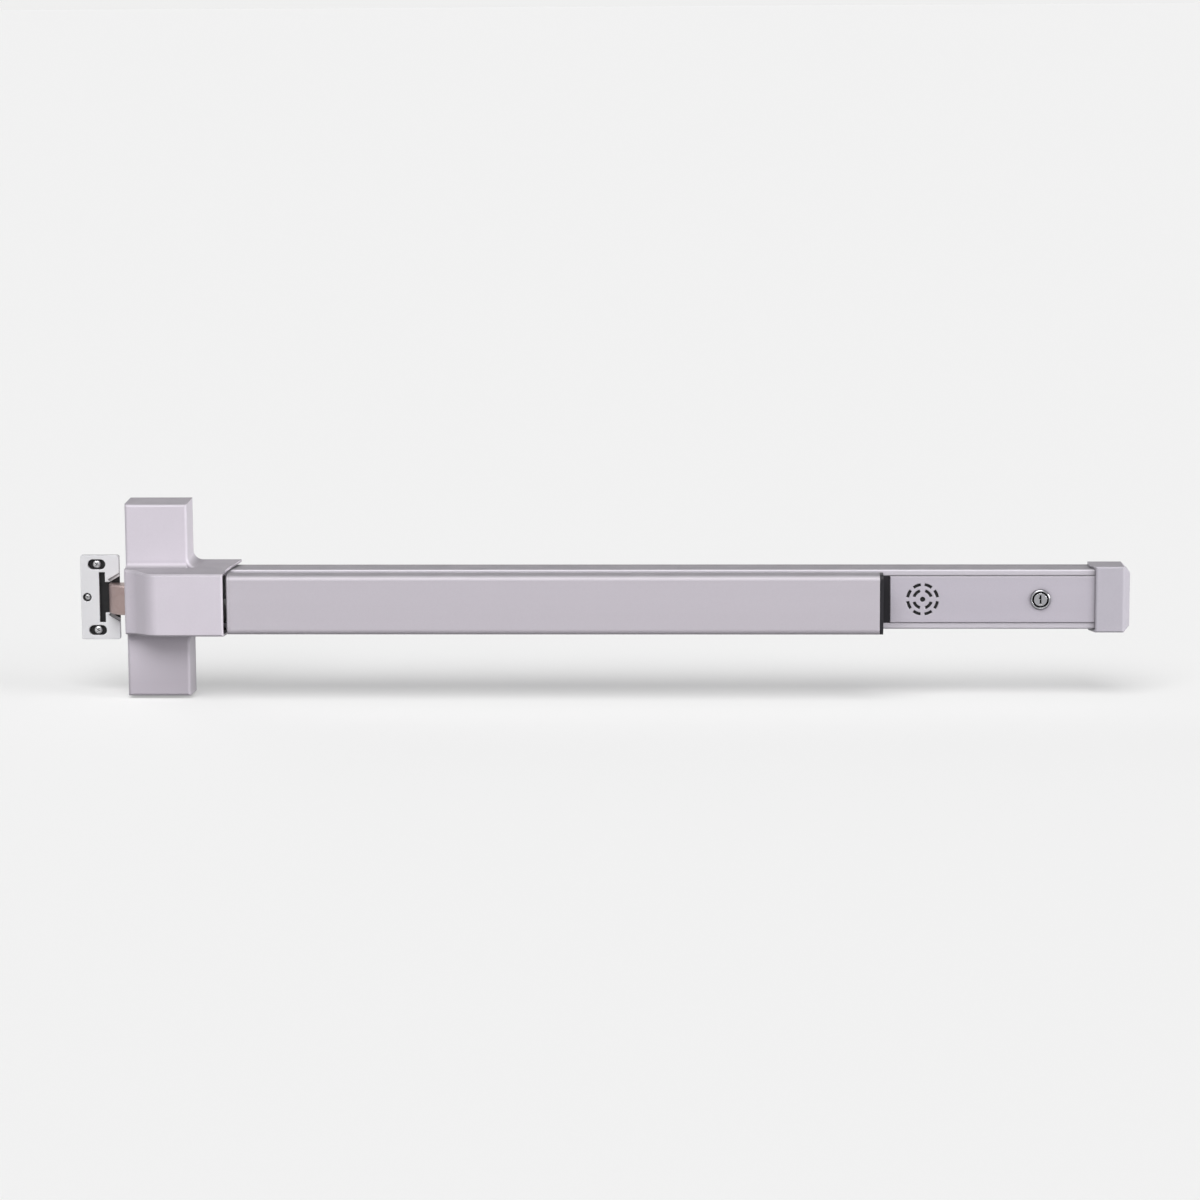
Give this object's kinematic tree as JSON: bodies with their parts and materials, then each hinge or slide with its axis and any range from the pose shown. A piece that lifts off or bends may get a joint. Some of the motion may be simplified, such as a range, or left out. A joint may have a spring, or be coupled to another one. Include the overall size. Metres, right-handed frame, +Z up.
{
  "type": "panic exit bar",
  "caption": "Push-bar door exit device with T-shaped latch head, sprung push bar, alarm section with sounder grille and key switch, end cap and separate strike.",
  "frame": {"origin": "centre of the head's fixing holes, on the door face", "axes": "+X runs along the bar from the latch end to the end cap, +Y points into the door, +Z is up"},
  "size_m": [0.8233, 0.06, 0.1543],
  "materials": {
    "head_paint": "satin silver powder coat",
    "bar_paint": "satin silver powder coat",
    "rail_paint": "satin silver powder coat",
    "cover_paint": "satin silver powder coat",
    "cap_paint": "satin silver powder coat",
    "zinc_steel": "zinc plated",
    "pin_steel": "bright ground",
    "spring_steel": "dull drawn wire",
    "screw_steel": "zinc plated",
    "latch_metal": "satin, slightly warm",
    "strike_metal": "satin light silver",
    "black_steel": "black oxide",
    "black_plastic": "moulded black",
    "lock_chrome": "polished",
    "lock_brass": "nickelled brass",
    "board_green": "solder mask",
    "battery_case": "plain, unmarked",
    "pad_rubber": "moulded"
  },
  "bodies": {
    "chassis": {"head_cover": "head_paint", "head_cover_screw": "screw_steel", "head_chassis": "zinc_steel", "latch_keeper": "zinc_steel", "latch_spring": "spring_steel", "rail": "rail_paint", "rail_screws": "screw_steel", "crank_bracket_left": "zinc_steel", "crank_bracket_right": "zinc_steel", "crank_pivot_pins": "pin_steel", "spring_bracket": "zinc_steel", "return_spring": "spring_steel", "stop_pads": "pad_rubber", "rail_divider": "black_plastic", "alarm_cover": "cover_paint", "sounder_mesh": "black_plastic", "sounder": "black_plastic", "circuit_board": "board_green", "board_components": "black_plastic", "alarm_tray": "black_plastic", "battery": "battery_case", "battery_clip": "black_plastic", "key_barrel": "lock_chrome", "key_nut": "lock_brass", "key_switch": "black_plastic", "reed_sensor": "black_plastic", "end_bracket": "zinc_steel", "end_cap": "cap_paint", "end_cap_screw": "screw_steel", "strike_plate": "strike_metal", "strike_backing": "black_steel", "strike_screws": "screw_steel", "strike_centre_screw": "screw_steel"},
    "push_bar_assembly": {"push_bar": "bar_paint", "push_bar_pins": "pin_steel", "push_bar_left_cap": "bar_paint", "push_bar_right_cap": "black_plastic", "bar_magnet": "black_steel"},
    "left_crank": {"bell_crank_left": "zinc_steel"},
    "right_crank": {"bell_crank_right": "zinc_steel"},
    "rod": {"draw_rod": "zinc_steel"},
    "latch": {"latch_bolt": "latch_metal"},
    "plug": {"key_plug": "lock_chrome"}
  },
  "joints": [
    {"name": "push_bar_press", "type": "slide", "parent": "chassis", "child": "push_bar_assembly", "axis": [0, 1, 0], "range_m": [0, 0.013], "stiffness_N_per_m": 2500, "springref_m": -0.012},
    {"name": "left_crank_turn", "type": "hinge", "parent": "chassis", "child": "left_crank", "pos_m": [0.1293, -0.013, 0], "axis": [0, 0, 1], "range_deg": [0, 29]},
    {"name": "right_crank_turn", "type": "hinge", "parent": "chassis", "child": "right_crank", "pos_m": [0.4675, -0.013, 0], "axis": [0, 0, 1], "range_deg": [0, 29]},
    {"name": "draw_rod_slide", "type": "slide", "parent": "chassis", "child": "rod", "axis": [1, 0, 0], "range_m": [0, 0.012], "deforming": ["return_spring"]},
    {"name": "latch_slide", "type": "slide", "parent": "chassis", "child": "latch", "axis": [1, 0, 0], "range_m": [0, 0.012], "deforming": ["latch_spring"]},
    {"name": "key_turn", "type": "hinge", "parent": "chassis", "child": "plug", "pos_m": [0.689, -0.02, 0], "axis": [0, 1, 0], "range_deg": [0, 90]}
  ],
  "couplings": [
    {"joint": "left_crank_turn", "follows": "push_bar_press", "rad_per_m": 38.934},
    {"joint": "right_crank_turn", "follows": "push_bar_press", "rad_per_m": 38.934},
    {"joint": "draw_rod_slide", "follows": "push_bar_press", "ratio": 0.923},
    {"joint": "latch_slide", "follows": "push_bar_press", "ratio": 0.923}
  ]
}
